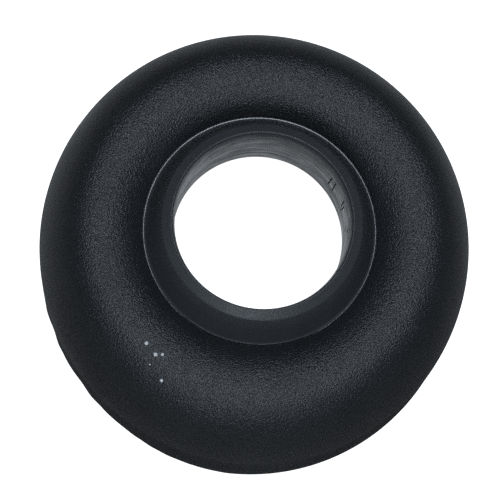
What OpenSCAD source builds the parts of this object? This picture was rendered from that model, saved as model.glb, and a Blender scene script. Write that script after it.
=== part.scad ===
// Ring strain insulator for electric fence wire: a moulded ring and the bush pressed into its middle.
// The ring lies on its back face at z = 0. The collar of the bush points up along +Z.

/* [Ring] */
// Outside diameter of the ring
ring_d = 64; // [62:0.5:68]
// Height of the round crest on the front face, above the back face
crest_h = 31; // [30.5:0.1:32]
// Diameter of the circle that the crest runs on
crest_d = 46.6; // [46:0.1:47.5]
// Height where the rounded front flange is widest
front_flange_h = 14; // [12:0.1:18]
// Squareness of the front flange's outer half, where 2 is an ellipse
flange_power = 2.3; // [2:0.05:2.8]
// Radius of the crest's inner flank, which runs down to the bush
flank_r = 8.3; // [7.5:0.1:10]
// How far the waist that seats the fence wire is sunk into the side
waist_depth = 0.7; // [0:0.1:0.8]

/* [Back] */
// Width of the rounded corner at the back edge
corner_w = 3.6; // [2:0.1:4.5]
// Height of the rounded corner at the back edge
corner_h = 3; // [2:0.1:4]
// Diameter where the throat's round mouth runs out into the back face
throat_d = 47; // [44:0.5:48]
// Radius of the throat's round mouth
throat_round = 3; // [1:0.1:4]

/* [Bush] */
// Diameter of the bore for the anchor wire, rope or bolt
bore_d = 25; // [23:0.5:26]
// Diameter of the seat that the bush is pressed into
seat_d = 33.8; // [33.6:0.1:34.4]
// Height of the bush's back end, where it stops on the ledge
ledge_h = 22; // [21:0.1:23]
// Diameter of the hole through the ledge
ledge_d = 29; // [28:0.1:30]
// Height of the collar's rim, the top of the part
rim_h = 34.6; // [34:0.1:36]
// Radius of the rim's edge
rim_r = 0.25; // [0.2:0.05:0.4]
// Width of the bore's flared mouth
mouth_w = 0.6; // [0.4:0.05:0.8]
// Height of the bore's flared mouth
mouth_h = 4; // [2:0.1:5]
// Length of the sloping land outside the rim
land_w = 1.3; // [1:0.05:1.5]
// Slope of the land below level, in degrees
land_slope = 33; // [25:1:40]
// Radius of the edge between the land and the collar's side
shoulder_r = 0.5; // [0.2:0.05:0.8]
// Width of the shoulder between the collar's foot and the seam
foot_w = 0.25; // [0.1:0.05:0.4]
// Chamfer on both back edges of the bush
bush_chamfer = 0.3; // [0.2:0.05:0.5]

/* [Snap bead] */
// How far the snap bead stands out of the bush
bead_h = 0.35; // [0.2:0.05:0.5]
// Half of the snap bead's length along the seat
bead_half = 0.7; // [0.5:0.05:1]

/* [Hidden] */
$fn = 180;

// Angle between the points of an arc
arc_step = 6;
ring_r = ring_d / 2;
crest_r = crest_d / 2;
seat_r = seat_d / 2;
bore_r = bore_d / 2;
// The inner flank turns through this angle before it meets the seat, which sets the seam's height
flank_turn = asin((crest_r - seat_r) / flank_r);
seam_h = crest_h - flank_r * (1 - cos(flank_turn));
bead_z = (ledge_h + seam_h) / 2;

// Points along an elliptical arc, in the plane of radius and height
function arc(centre, radii, from, to) =
    let (steps = max(2, ceil(abs(to - from) / arc_step)))
    [for (i = [0 : steps])
        let (a = from + (to - from) * i / steps)
        centre + [radii.x * cos(a), radii.y * sin(a)]];

// Angle on a circle at which a line from an outside point touches it, on the side that sign gives
function touch_angle(point, centre, radius, sign) =
    let (away = point - centre)
    atan2(away.y, away.x) + sign * acos(radius / norm(away));

// Points on the outer half of the front flange, from its widest point up to the crest
function flange_round() =
    let (steps = 18, width = ring_r - crest_r, height = crest_h - front_flange_h)
    [for (i = [0 : steps])
        let (a = 90 * i / steps)
        [
            crest_r + width * pow(cos(a), 2 / flange_power),
            front_flange_h + height * pow(sin(a), 2 / flange_power)
        ]];

// Points up the side from the back corner to the front flange, with the shallow waist between them
function waist_side(low, high) =
    let (steps = 12)
    [for (i = [1 : steps - 1])
        let (part = i / steps)
        [ring_r - waist_depth * (1 - cos(360 * part)) / 2, low + (high - low) * part]];

// The snap bead, or the groove for it, from the top of the seat down
function bead_points() =
    [for (i = [-4 : 4])
        [seat_r + bead_h * (1 + cos(45 * i)) / 2, bead_z - bead_half * i / 4]];

// Half section of the ring
function body_outline() =
    let (
        round_centre = [throat_d / 2, throat_round],
        throat_top = [ledge_d / 2, ledge_h],
        round_start = touch_angle(throat_top, round_centre, throat_round, 1)
    )
    concat(
        [throat_top],
        arc(round_centre, [throat_round, throat_round], round_start, 270),
        arc([ring_r - corner_w, corner_h], [corner_w, corner_h], 270, 360),
        waist_side(corner_h, front_flange_h),
        flange_round(),
        arc([crest_r, crest_h - flank_r], [flank_r, flank_r], 90 + arc_step, 90 + flank_turn),
        bead_points(),
        [[seat_r, ledge_h]]
    );

// Half section of the bush
function bush_outline() =
    let (
        foot = [seat_r - foot_w, seam_h],
        rim_centre = [bore_r + mouth_w, rim_h - rim_r],
        outward = [sin(land_slope), cos(land_slope)],
        downhill = [cos(land_slope), -sin(land_slope)],
        land_end = rim_centre + rim_r * outward + land_w * downhill,
        shoulder_centre = land_end - shoulder_r * outward,
        shoulder_end = touch_angle(foot, shoulder_centre, shoulder_r, 1)
    )
    concat(
        [[bore_r, ledge_h + bush_chamfer]],
        arc([bore_r + mouth_w, rim_h - mouth_h], [mouth_w, mouth_h], 180, 90),
        arc(rim_centre, [rim_r, rim_r], 90 - 2 * arc_step, 90 - land_slope),
        arc(shoulder_centre, [shoulder_r, shoulder_r], 90 - land_slope, shoulder_end),
        [foot, [seat_r, seam_h]],
        bead_points(),
        [[seat_r, ledge_h + bush_chamfer], [seat_r - bush_chamfer, ledge_h]],
        [[bore_r + bush_chamfer, ledge_h]]
    );

// The moulded ring: front flange, wire waist, back edge, throat, and the seat for the bush
module insulator_body() {
    color([0.10, 0.11, 0.12])
        rotate_extrude() polygon(body_outline());
}

// The pressed-in bush: bore, flared mouth and collar, with the snap bead that holds it in the seat
module bore_bush() {
    color([0.16, 0.17, 0.18])
        rotate_extrude() polygon(bush_outline());
}

insulator_body();
bore_bush();
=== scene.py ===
# Ring strain insulator for electric fence wire: looks, floor, light and camera.
# Sizes of the object are in millimetres, and become metres as meshes and materials are made.
# Places and sizes of the floor, lights, reflector and camera are in metres.
import math

import bmesh
import bpy
from mathutils import Matrix, Vector, noise


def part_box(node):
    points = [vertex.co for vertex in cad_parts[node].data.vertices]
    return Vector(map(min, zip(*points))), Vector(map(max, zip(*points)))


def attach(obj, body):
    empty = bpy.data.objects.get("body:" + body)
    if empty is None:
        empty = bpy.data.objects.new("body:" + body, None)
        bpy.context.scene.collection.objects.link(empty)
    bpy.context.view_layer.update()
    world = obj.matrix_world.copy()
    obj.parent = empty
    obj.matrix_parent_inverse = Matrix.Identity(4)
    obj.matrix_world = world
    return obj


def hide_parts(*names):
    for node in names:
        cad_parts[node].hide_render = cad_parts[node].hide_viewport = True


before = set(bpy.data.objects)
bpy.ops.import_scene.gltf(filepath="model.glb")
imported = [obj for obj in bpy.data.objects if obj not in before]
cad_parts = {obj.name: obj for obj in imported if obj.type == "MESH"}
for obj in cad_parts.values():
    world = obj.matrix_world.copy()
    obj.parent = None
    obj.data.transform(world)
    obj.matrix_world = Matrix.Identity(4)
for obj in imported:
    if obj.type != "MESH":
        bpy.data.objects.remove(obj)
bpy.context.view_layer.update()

MM = 0.001

# ---------------------------------------------------------------- sizes
# Driving sizes, from the CAD frame
RING_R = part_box("insulator_body")[1][0] / MM
CREST_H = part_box("insulator_body")[1][2] / MM
LEDGE_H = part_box("bore_bush")[0][2] / MM
RIM_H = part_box("bore_bush")[1][2] / MM

# Ring, as in part.scad
SEAT_R = 16.9
CREST_R = 23.3
FLANGE_H = 14.0
FLANGE_POWER = 2.3
FLANK_R = 8.3
WAIST_DEPTH = 0.7
CORNER_W = 3.6
CORNER_H = 3.0
THROAT_R = 23.5
THROAT_ROUND = 3.0
LEDGE_R = 14.5
# The inner flank turns through this angle before it meets the seat, which sets the seam's height
FLANK_TURN = math.asin((CREST_R - SEAT_R) / FLANK_R)
SEAM_H = CREST_H - FLANK_R * (1 - math.cos(FLANK_TURN))

# Bush, as in part.scad
BORE_R = 12.5
MOUTH_W = 0.6
MOUTH_H = 4.0
RIM_R = 0.25
LAND_W = 1.3
LAND_TILT = 33.0
SHOULDER_R = 0.5
CHAMFER = 0.3

# The open seam between the two pieces, which has no shape of its own in the CAD
SEAM_DEPTH = 0.45
SEAM_HALF_GAP = 0.05
RING_EDGE_R = 0.16
BUSH_EDGE_R = 0.08
BUSH_EDGE_DROP = 0.1
FOOT_W = 0.2
FOOT_RISE = 0.05

# The raised moulding line along the seam: its size where it is thickest, the turn of that place,
# and the shares of that size where it is thinnest, on the far side
FLASH_W = 0.46
FLASH_RISE = 0.14
FLASH_PEAK = math.radians(95)
THIN_WIDTH = 0.3
THIN_RISE = 0.12
# Depth of its middle below the seam at its peak, and how much deeper it gets on the far side
FLASH_SUNK = 0.03
FLASH_DROP = 0.46
# Fineness of the noise that makes the line waver slowly, and of the noise that beads it
WAVER_LUMPS = 9
BEAD_LUMPS = 60

# Painted glints on the front flange: small pale spots that stand for the grain sparkling in the
# light, the place of each, and its radius
GLINT_SPOTS = [
    ((-16.4, -17.4, 31.0), 0.30),
    ((-15.1, -19.0, 31.0), 0.34),
    ((-14.1, -19.0, 31.0), 0.26),
    ((-14.2, -22.6, 30.1), 0.28),
    ((-17.3, -18.6, 30.9), 0.16),
    ((-15.9, -20.4, 30.6), 0.14),
]
# Dark scratches on the bore's wall: the turn in degrees and the height of each one's middle,
# its slant from the bore's axis in degrees, and half its length
SCRATCHES = [
    (35.6, 29.2, -4, 2.7),
    (30.9, 29.1, -2, 3.1),
    (17.6, 29.6, -2, 2.6),
    (15.8, 28.4, -6, 2.2),
    (2.3, 28.0, 4, 1.5),
    (-2.0, 30.9, 0, 1.4),
    (-8.3, 23.3, 56, 1.0),
]
SCRATCH_HALF_WIDTH = 0.15

# The back edge is pulled in over part of its length, where the moulding was trimmed
TRIM_DIRECTION = math.radians(216)
TRIM_SPREAD = math.radians(48)
TRIM_DEPTH = 0.72
TRIM_TOP = 20.0
TRIM_ROUGHNESS = 0.35
TRIM_LUMPS_PER_METRE = 350

SEGMENTS = 384
FLASH_SEGMENTS = 1440

# ---------------------------------------------------------------- skins
RING_GRAIN_PITCH = 0.27
RING_GRAIN_DEPTH = 0.17
RING_ROUGHNESS = (0.26, 0.36)
BUSH_GRAIN_PITCH = 0.22
BUSH_GRAIN_DEPTH = 0.07
BUSH_ROUGHNESS = (0.38, 0.50)
# Share of the bush's grain that is left on the bore's wall
BORE_GRAIN = 0.25
# Streaks round the bore's wall: noise drawn out along it, its depth, and what it does to roughness
STREAK_PITCH = 0.9
STREAK_SCALE = (0.12, 0.12, 1.6)
STREAK_DEPTH = 0.03
STREAK_ROUGHNESS = 0.14
FLASH_ROUGHNESS = 0.22
FLOOR_ROUGHNESS = 0.8

# ---------------------------------------------------------------- colours, linear
RING_DARK = (0.012, 0.0135, 0.016)
RING_LIGHT = (0.019, 0.021, 0.024)
BUSH_DARK = (0.033, 0.036, 0.041)
BUSH_LIGHT = (0.044, 0.048, 0.054)
FLASH_COLOUR = (0.05, 0.053, 0.058)
# Colour of the painted glints on the front flange
GLINT_COLOUR = (0.62, 0.64, 0.66)
FLOOR_COLOUR = (0.93, 0.93, 0.93)
CARD_COLOUR = (0.88, 0.945, 1.0)
LIGHT_COLOUR = (0.83, 0.92, 1.0)
WHITE = (1, 1, 1)

# ---------------------------------------------------------------- staging
FLOOR_GLOW = 1.05
FLOOR_SIDE = 3.0
CARD_R = 0.14
CARD_DEPTH = 0.0005
UNDER_HOLE_GLOW = 0.78
BEYOND_GLOW = 0.30
# What both lights are aimed at
AIM = Vector((0, 0, 0.02))
AMBIENT_GLOW = 0.03
BACKDROP_GLOW = 0.9

CAMERA_TILT = math.radians(13.1)
LEAN_DIRECTION = math.radians(73.2)
CAMERA_DISTANCE = 0.4353
CAMERA_LENS = 216.0
SENSOR_WIDTH = 36
# Where the middle of the seam circle stands in the frame, right of and above its centre, in mm
SEAM_RIGHT = 1.42
SEAM_UP = 2.80


# ---------------------------------------------------------------- outlines
def arc(centre, radii, start, end, step=3.0):
    """Points along an elliptical arc in the plane of radius and height; angles in degrees."""
    count = max(2, math.ceil(abs(end - start) / step))
    turns = [math.radians(start + (end - start) * i / count) for i in range(count + 1)]
    return [(centre[0] + radii[0] * math.cos(t), centre[1] + radii[1] * math.sin(t)) for t in turns]


def line(start, end, pieces):
    """Points between two points, without the ends."""
    (r0, z0), (r1, z1) = start, end
    return [(r0 + (r1 - r0) * i / pieces, z0 + (z1 - z0) * i / pieces) for i in range(1, pieces)]


def touch_angle(point, centre, radius):
    """Angle on a circle, in degrees, where a line from an outside point touches it."""
    dr, dz = point[0] - centre[0], point[1] - centre[1]
    return math.degrees(math.atan2(dz, dr) + math.acos(radius / math.hypot(dr, dz)))


def waist_side(steps=24):
    """The side between the back corner and the front flange, with its shallow waist."""
    points = []
    for i in range(1, steps):
        part = i / steps
        dip = WAIST_DEPTH * (1 - math.cos(2 * math.pi * part)) / 2
        points.append((RING_R - dip, CORNER_H + (FLANGE_H - CORNER_H) * part))
    return points


def round_flange(steps=46):
    """Outer half of the front flange, a little squarer than an ellipse, from widest to crest."""
    width, height = RING_R - CREST_R, CREST_H - FLANGE_H
    points = []
    for i in range(steps + 1):
        turn = math.radians(90 * i / steps)
        out = math.cos(turn) ** (2 / FLANGE_POWER)
        rise = math.sin(turn) ** (2 / FLANGE_POWER)
        points.append((CREST_R + width * out, FLANGE_H + height * rise))
    return points


def body_outline():
    """Closed half section of the ring, from the ledge round the outside to the seat."""
    top = (LEDGE_R, LEDGE_H)
    mouth = (THROAT_R, THROAT_ROUND)
    start = touch_angle(top, mouth, THROAT_ROUND)
    round_mouth = arc(mouth, (THROAT_ROUND, THROAT_ROUND), start, 270, 5)
    corner = arc((RING_R - CORNER_W, CORNER_H), (CORNER_W, CORNER_H), 270, 360, 5)
    flank_centre = (CREST_R, CREST_H - FLANK_R)
    flank = arc(flank_centre, (FLANK_R, FLANK_R), 92, 88 + math.degrees(FLANK_TURN), 2)
    seam_r = SEAT_R + SEAM_HALF_GAP
    edge_centre = (seam_r + RING_EDGE_R, SEAM_H - RING_EDGE_R / 2)
    return [
        top,
        *line(top, round_mouth[0], 16),
        *round_mouth,
        *line(round_mouth[-1], corner[0], 6),
        *corner,
        *waist_side(),
        *round_flange(),
        *flank,
        *arc(edge_centre, (RING_EDGE_R, RING_EDGE_R), 70, 180, 15),
        (seam_r, SEAM_H - SEAM_DEPTH),
        (SEAT_R, SEAM_H - SEAM_DEPTH),
        (SEAT_R, LEDGE_H),
    ]


def bush_outline():
    """Closed half section of the bush, from the bore over the rim to the back end."""
    seam_r = SEAT_R - SEAM_HALF_GAP
    start = (BORE_R, LEDGE_H + CHAMFER)
    foot = (seam_r - FOOT_W, SEAM_H + FOOT_RISE)
    tilt = math.radians(LAND_TILT)
    rim = (BORE_R + MOUTH_W, RIM_H - RIM_R)
    land = (rim[0] + RIM_R * math.sin(tilt), rim[1] + RIM_R * math.cos(tilt))
    land_end = (land[0] + LAND_W * math.cos(tilt), land[1] - LAND_W * math.sin(tilt))
    shoulder = (
        land_end[0] - SHOULDER_R * math.sin(tilt),
        land_end[1] - SHOULDER_R * math.cos(tilt),
    )
    shoulder_end = touch_angle(foot, shoulder, SHOULDER_R)
    crown = [
        *arc((rim[0], RIM_H - MOUTH_H), (MOUTH_W, MOUTH_H), 180, 90, 4),
        *arc(rim, (RIM_R, RIM_R), 84, 90 - LAND_TILT, 8),
        *line(land, land_end, 4),
        *arc(shoulder, (SHOULDER_R, SHOULDER_R), 90 - LAND_TILT, shoulder_end, 6),
    ]
    edge_centre = (seam_r - BUSH_EDGE_R, SEAM_H - BUSH_EDGE_DROP)
    return [
        start,
        *line(start, crown[0], 20),
        *crown,
        *line(crown[-1], foot, 12),
        foot,
        *arc(edge_centre, (BUSH_EDGE_R, BUSH_EDGE_R), 90, 0, 15),
        (seam_r, SEAM_H - SEAM_DEPTH),
        (SEAT_R, SEAM_H - SEAM_DEPTH),
        (SEAT_R, LEDGE_H + CHAMFER),
        (SEAT_R - CHAMFER, LEDGE_H),
        (BORE_R + CHAMFER, LEDGE_H),
    ]


def flash_outline(turn):
    """Section of the moulding line at one turn: thick at its peak, thin and sunk opposite."""
    share = 0.5 + 0.5 * math.cos(turn - FLASH_PEAK)
    c, s = math.cos(turn), math.sin(turn)
    waver = noise.noise((WAVER_LUMPS * c, WAVER_LUMPS * s, 3.7))
    bead = noise.noise((BEAD_LUMPS * c, BEAD_LUMPS * s, 8.1))
    width = FLASH_W * (THIN_WIDTH + (1 - THIN_WIDTH) * share) * (1 + 0.25 * waver + 0.1 * bead)
    rise = FLASH_RISE * (THIN_RISE + (1 - THIN_RISE) * share) * (1 + 0.3 * waver + 0.1 * bead)
    sunk = FLASH_SUNK + FLASH_DROP * (1 - share)
    return arc((SEAT_R, SEAM_H - sunk), (width / 2, rise + sunk * share), 0, 345, 15)


# ---------------------------------------------------------------- meshes
def object_from(name, mesh):
    """A new object in the scene from a bmesh, which is freed."""
    data = bpy.data.meshes.new(name)
    mesh.to_mesh(data)
    mesh.free()
    made = bpy.data.objects.new(name, data)
    bpy.context.scene.collection.objects.link(made)
    return made


def lathe(name, outline, segments):
    """A smooth mesh, in metres, turned about Z from outline(turn), its closed half section."""
    mesh = bmesh.new()
    rings = []
    for i in range(segments):
        turn = 2 * math.pi * i / segments
        c, s = math.cos(turn), math.sin(turn)
        rings.append([mesh.verts.new((r * c * MM, r * s * MM, z * MM)) for r, z in outline(turn)])
    for i, ring in enumerate(rings):
        after = rings[(i + 1) % segments]
        for j in range(len(ring)):
            k = (j + 1) % len(ring)
            mesh.faces.new((ring[j], after[j], after[k], ring[k]))
    bmesh.ops.recalc_face_normals(mesh, faces=mesh.faces)
    piece = object_from(name, mesh)
    piece.data.shade_smooth()
    return piece


def trim_back_edge(piece):
    """Pull the side in at the back, most at the middle of the trimmed stretch and at the bottom."""
    inner_r = RING_R - CORNER_W - 1
    for vertex in piece.data.vertices:
        radius = math.hypot(vertex.co.x, vertex.co.y) / MM
        height = vertex.co.z / MM
        if radius < inner_r or height > TRIM_TOP:
            continue
        turn = math.atan2(vertex.co.y, vertex.co.x) - TRIM_DIRECTION
        turn = abs((turn + math.pi) % (2 * math.pi) - math.pi)
        if turn > TRIM_SPREAD:
            continue
        along = 0.5 + 0.5 * math.cos(math.pi * turn / TRIM_SPREAD)
        up = 0.5 + 0.5 * math.cos(math.pi * height / TRIM_TOP)
        rough = 1 + TRIM_ROUGHNESS * noise.noise(vertex.co * TRIM_LUMPS_PER_METRE)
        shrink = 1 - TRIM_DEPTH * math.sqrt(along) * up * rough / radius
        vertex.co.x *= shrink
        vertex.co.y *= shrink


# ---------------------------------------------------------------- shader nodes
def new_material(name):
    """A material, its node tree and its Principled shader."""
    material = bpy.data.materials.new(name)
    material.use_nodes = True
    tree = material.node_tree
    return material, tree, tree.nodes["Principled BSDF"]


def feed(tree, socket, value):
    """Links a socket to another one, or sets it to a plain value."""
    if isinstance(value, bpy.types.NodeSocket):
        tree.links.new(value, socket)
    else:
        socket.default_value = value


def maths(tree, operation, *values):
    """A number worked out from sockets and plain numbers."""
    node = tree.nodes.new("ShaderNodeMath")
    node.operation = operation
    for socket, value in zip(node.inputs, values):
        feed(tree, socket, value)
    return node.outputs[0]


def vectors(tree, operation, *values):
    """A vector, or the number that DISTANCE, LENGTH and DOT_PRODUCT give."""
    node = tree.nodes.new("ShaderNodeVectorMath")
    node.operation = operation
    for socket, value in zip(node.inputs, values):
        feed(tree, socket, value)
    is_number = operation in ("DISTANCE", "LENGTH", "DOT_PRODUCT")
    return node.outputs["Value" if is_number else "Vector"]


def object_coords(tree):
    return tree.nodes.new("ShaderNodeTexCoord").outputs["Object"]


def noise_node(tree, coords, pitch_mm, detail=2.0, rough=0.5):
    """Noise whose lumps are about pitch_mm across."""
    node = tree.nodes.new("ShaderNodeTexNoise")
    tree.links.new(coords, node.inputs["Vector"])
    node.inputs["Scale"].default_value = 1 / (pitch_mm * MM)
    node.inputs["Detail"].default_value = detail
    node.inputs["Roughness"].default_value = rough
    return node.outputs["Fac"]


def ranged(tree, value, low, high, out_low, out_high):
    """A value moved from one range to another, with its ends clamped."""
    node = tree.nodes.new("ShaderNodeMapRange")
    tree.links.new(value, node.inputs["Value"])
    node.inputs["From Min"].default_value = low
    node.inputs["From Max"].default_value = high
    node.inputs["To Min"].default_value = out_low
    node.inputs["To Max"].default_value = out_high
    return node.outputs["Result"]


def bump(tree, height, depth_mm, below=None):
    """A bump of that depth, on top of the bump below it."""
    node = tree.nodes.new("ShaderNodeBump")
    node.inputs["Distance"].default_value = depth_mm * MM
    tree.links.new(height, node.inputs["Height"])
    if below is not None:
        tree.links.new(below, node.inputs["Normal"])
    return node.outputs["Normal"]


def mixed(tree, factor, first, second):
    """A number between two others."""
    node = tree.nodes.new("ShaderNodeMix")
    feed(tree, node.inputs["Factor"], factor)
    feed(tree, node.inputs["A"], first)
    feed(tree, node.inputs["B"], second)
    return node.outputs["Result"]


def mixed_colour(tree, factor, first, second):
    """A colour between two others. Each is a socket or three numbers."""
    node = tree.nodes.new("ShaderNodeMix")
    node.data_type = "RGBA"
    tree.links.new(factor, node.inputs[0])
    for socket, colour in ((node.inputs[6], first), (node.inputs[7], second)):
        feed(tree, socket, (*colour, 1) if isinstance(colour, tuple) else colour)
    return node.outputs[2]


# ---------------------------------------------------------------- materials
def grained_plastic():
    """Black polymer with the fine grain of a spark-eroded mould, and a few pale spots painted on as
    glints.
    """
    material, tree, shader = new_material("grained_plastic")
    coords = object_coords(tree)
    tone = noise_node(tree, coords, pitch_mm=9, detail=3)
    colour = mixed_colour(tree, tone, RING_DARK, RING_LIGHT)
    wobble = noise_node(tree, coords, pitch_mm=0.5)
    # Pale spots painted into the colour as glints, where the grain catches the light
    for place, radius in GLINT_SPOTS:
        away = vectors(tree, "DISTANCE", coords, [c * MM for c in place])
        ragged = maths(tree, "MULTIPLY_ADD", wobble, 0.6 * radius * MM, away)
        glint = ranged(tree, ragged, 0.9 * radius * MM, 1.3 * radius * MM, 1, 0)
        colour = mixed_colour(tree, glint, colour, GLINT_COLOUR)
    tree.links.new(colour, shader.inputs["Base Color"])
    patches = noise_node(tree, coords, pitch_mm=5, detail=4)
    rough = ranged(tree, patches, 0.3, 0.7, *RING_ROUGHNESS)
    tree.links.new(rough, shader.inputs["Roughness"])
    grain = noise_node(tree, coords, RING_GRAIN_PITCH, rough=0.6)
    tree.links.new(bump(tree, grain, RING_GRAIN_DEPTH), shader.inputs["Normal"])
    return material


def scratch_mask(tree, coords):
    """1 in the scratches on the bore's wall, 0 elsewhere."""
    width = SCRATCH_HALF_WIDTH * MM
    upward = Vector((0, 0, 1))
    total = None
    for turn, height, slant, half in SCRATCHES:
        turn, slant = math.radians(turn), math.radians(slant)
        place = Vector((BORE_R * math.cos(turn), BORE_R * math.sin(turn), height)) * MM
        around = Vector((-math.sin(turn), math.cos(turn), 0))
        across = math.cos(slant) * around - math.sin(slant) * upward
        offset = vectors(tree, "SUBTRACT", coords, place)
        away = maths(tree, "ABSOLUTE", vectors(tree, "DOT_PRODUCT", offset, across))
        reach = vectors(tree, "LENGTH", offset)
        narrow = ranged(tree, away, 0.6 * width, 1.3 * width, 1, 0)
        short = ranged(tree, reach, 0.8 * half * MM, half * MM, 1, 0)
        mark = maths(tree, "MULTIPLY", narrow, short)
        total = mark if total is None else maths(tree, "MAXIMUM", total, mark)
    return total


def bush_plastic():
    """The same polymer with a smoother skin, and the marks left in the bore by the core pin."""
    material, tree, shader = new_material("bush_plastic")
    coords = object_coords(tree)
    tone = noise_node(tree, coords, pitch_mm=6, detail=3)
    colour = mixed_colour(tree, tone, BUSH_DARK, BUSH_LIGHT)
    tree.links.new(colour, shader.inputs["Base Color"])
    # Radius from the bore's axis tells the bore's wall from the collar
    radius = vectors(tree, "LENGTH", vectors(tree, "MULTIPLY", coords, (1, 1, 0)))
    in_bore = ranged(tree, radius, (BORE_R + 0.1) * MM, (BORE_R + 0.6) * MM, 1, 0)
    drawn_out = vectors(tree, "MULTIPLY", coords, STREAK_SCALE)
    streaks = noise_node(tree, drawn_out, STREAK_PITCH, detail=4, rough=0.65)
    patches = noise_node(tree, coords, pitch_mm=2.5, detail=4)
    rough = ranged(tree, patches, 0.3, 0.7, *BUSH_ROUGHNESS)
    streaky = ranged(tree, streaks, 0.35, 0.65, -1, 1)
    bore_rough = maths(tree, "MULTIPLY_ADD", streaky, STREAK_ROUGHNESS, rough)
    tree.links.new(mixed(tree, in_bore, rough, bore_rough), shader.inputs["Roughness"])
    specular = ranged(tree, scratch_mask(tree, coords), 0, 1, 0.5, 0)
    tree.links.new(specular, shader.inputs["Specular IOR Level"])
    # The grain is fainter on the bore's wall, which has drag marks instead
    fainter = ranged(tree, in_bore, 0, 1, 1, BORE_GRAIN)
    grain = maths(tree, "MULTIPLY", noise_node(tree, coords, BUSH_GRAIN_PITCH), fainter)
    drag = maths(tree, "MULTIPLY", streaks, in_bore)
    grained = bump(tree, grain, BUSH_GRAIN_DEPTH)
    tree.links.new(bump(tree, drag, STREAK_DEPTH, below=grained), shader.inputs["Normal"])
    return material


def flash_plastic():
    """The bush's polymer where it was squeezed out thin and came off the mould glossy."""
    material, _, shader = new_material("flash_plastic")
    shader.inputs["Base Color"].default_value = (*FLASH_COLOUR, 1)
    shader.inputs["Roughness"].default_value = FLASH_ROUGHNESS
    shader.inputs["Specular IOR Level"].default_value = 1.0
    return material


def floor_material():
    """White, with a glow of its own, so that it shows no shadow."""
    material, _, shader = new_material("pale_floor")
    shader.inputs["Base Color"].default_value = (*FLOOR_COLOUR, 1)
    shader.inputs["Roughness"].default_value = FLOOR_ROUGHNESS
    shader.inputs["Emission Color"].default_value = (*WHITE, 1)
    shader.inputs["Emission Strength"].default_value = FLOOR_GLOW
    return material


def card_material():
    """A bluish glow, seen only in reflections, that stands for the lit floor: one patch under the
    hole, dimmed by a painted shadow towards the near side and brightened by painted light to the
    right, and the floor further out, dimmed by a painted shadow of the ring on the near side.
    """
    material = bpy.data.materials.new("reflector")
    material.use_nodes = True
    tree = material.node_tree
    coords = object_coords(tree)
    split = tree.nodes.new("ShaderNodeSeparateXYZ")
    tree.links.new(coords, split.inputs[0])
    radius = vectors(tree, "LENGTH", coords)
    under_hole = ranged(tree, radius, 0.018, 0.026, 1, 0)
    # Painted shadow: the glow under the hole fades towards the near side, where the ring shades the
    # floor
    near_side_painted_shadow = ranged(tree, split.outputs["Y"], -0.012, 0.004, 0.1, UNDER_HOLE_GLOW)
    # Painted light: the glow under the hole is brighter to the right
    painted_light_to_right = ranged(tree, split.outputs["X"], -0.010, 0.010, 0.65, 1.5)
    patch = maths(tree, "MULTIPLY", under_hole, maths(tree, "MULTIPLY", near_side_painted_shadow, painted_light_to_right))
    # Painted shadow: the floor's glow further out is dimmer on the near side, where the ring's
    # shadow falls
    beyond = ranged(tree, split.outputs["Y"], -0.025, 0.03, 0.05, BEYOND_GLOW)
    fade = ranged(tree, radius, 0.08, 0.13, 1, 0)
    glow = tree.nodes.new("ShaderNodeEmission")
    glow.inputs["Color"].default_value = (*CARD_COLOUR, 1)
    strength = maths(tree, "MAXIMUM", patch, maths(tree, "MULTIPLY", beyond, fade))
    tree.links.new(strength, glow.inputs["Strength"])
    tree.links.new(glow.outputs[0], tree.nodes["Material Output"].inputs["Surface"])
    return material


# ---------------------------------------------------------------- pieces
def add_piece(name, outline, node, material, segments=SEGMENTS):
    """A turned piece that rides on the CAD, and stands for a CAD node if one is given."""
    piece = lathe(name, outline, segments)
    piece.data.materials.append(material)
    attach(piece, "root")
    if node:
        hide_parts(node)
    return piece


def same_all_round(section):
    """An outline that gives the same section at every turn."""
    return lambda turn: section


ring_section = same_all_round(body_outline())
bush_section = same_all_round(bush_outline())
ring_skin = grained_plastic()
ring = add_piece("ring_moulding", ring_section, "insulator_body", ring_skin)
trim_back_edge(ring)
add_piece("collar_bush", bush_section, "bore_bush", bush_plastic())
flash_skin = flash_plastic()
add_piece("seam_flash", flash_outline, None, flash_skin, FLASH_SEGMENTS)


# ---------------------------------------------------------------- floor, light and camera
def add_floor():
    """A wide pale floor, which the piece's own reflections don't see."""
    mesh = bmesh.new()
    bmesh.ops.create_grid(mesh, x_segments=4, y_segments=4, size=FLOOR_SIDE / 2)
    floor = object_from("floor", mesh)
    floor.data.materials.append(floor_material())
    floor.visible_glossy = False


def add_reflector():
    """A round card just under the floor, seen only in reflections, as a lit sheet of paper is."""
    mesh = bmesh.new()
    bmesh.ops.create_circle(mesh, cap_ends=True, segments=96, radius=CARD_R)
    card = object_from("reflector", mesh)
    card.location = (0, 0, -CARD_DEPTH)
    card.data.materials.append(card_material())
    card.visible_camera = False
    card.visible_diffuse = False
    card.visible_shadow = False


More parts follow.
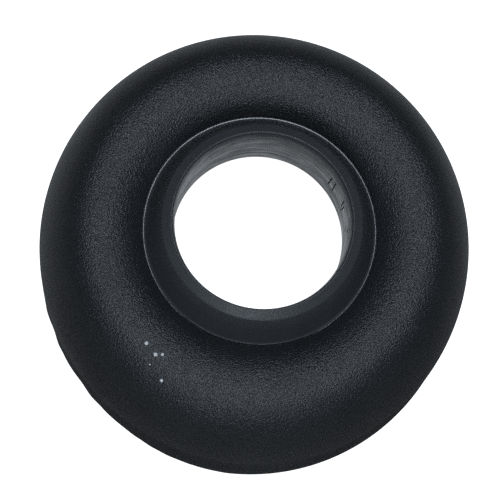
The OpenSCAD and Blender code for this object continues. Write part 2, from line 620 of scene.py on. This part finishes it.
def add_light(name, place, size, power):
    """A soft round light, aimed at the ring."""
    light = bpy.data.lights.new(name, "AREA")
    light.shape = "DISK"
    light.size = size
    light.energy = power
    light.color = LIGHT_COLOUR
    lamp = bpy.data.objects.new(name, light)
    lamp.location = place
    lamp.rotation_mode = "QUATERNION"
    lamp.rotation_quaternion = (AIM - Vector(place)).to_track_quat("-Z", "Y")
    bpy.context.scene.collection.objects.link(lamp)


def add_camera():
    """The ring's axis leans towards LEAN_DIRECTION in the picture, by CAMERA_TILT from sight."""
    axis = Vector((
        math.sin(CAMERA_TILT) * math.cos(LEAN_DIRECTION),
        math.sin(CAMERA_TILT) * math.sin(LEAN_DIRECTION),
        math.cos(CAMERA_TILT),
    ))
    across = (Vector((1, 0, 0)) - axis * axis.x).normalized()
    up = axis.cross(across)
    # Each row is one of the world's axes as the camera sees it
    camera_to_world = Matrix((across, up, axis))
    seam = Vector((0, 0, SEAM_H * MM))
    seen = Vector((SEAM_RIGHT * MM, SEAM_UP * MM, -CAMERA_DISTANCE))
    place = Matrix.Translation(seam - camera_to_world @ seen)
    camera = bpy.data.cameras.new("camera")
    camera.lens = CAMERA_LENS
    camera.sensor_width = SENSOR_WIDTH
    camera.clip_start = 0.01
    holder = bpy.data.objects.new("camera", camera)
    holder.matrix_world = place @ camera_to_world.to_4x4()
    bpy.context.scene.collection.objects.link(holder)
    bpy.context.scene.camera = holder


def set_world():
    """A dim glow all round that lights the ring, and a pale backdrop for the camera alone."""
    world = bpy.data.worlds.new("world")
    world.use_nodes = True
    tree = world.node_tree
    background = tree.nodes["Background"]
    background.inputs["Color"].default_value = (*WHITE, 1)
    seen_by_camera = tree.nodes.new("ShaderNodeLightPath").outputs["Is Camera Ray"]
    strength = ranged(tree, seen_by_camera, 0, 1, AMBIENT_GLOW, BACKDROP_GLOW)
    tree.links.new(strength, background.inputs["Strength"])
    bpy.context.scene.world = world


add_floor()
add_reflector()
add_light("overhead", (0.02, 0.055, 0.6), size=0.34, power=1.8)
add_light("front", (-0.06, -0.43, 0.38), size=0.28, power=1.05)
add_camera()
set_world()
bpy.context.scene.view_settings.view_transform = "Standard"
bpy.context.scene.cycles.use_denoising = False
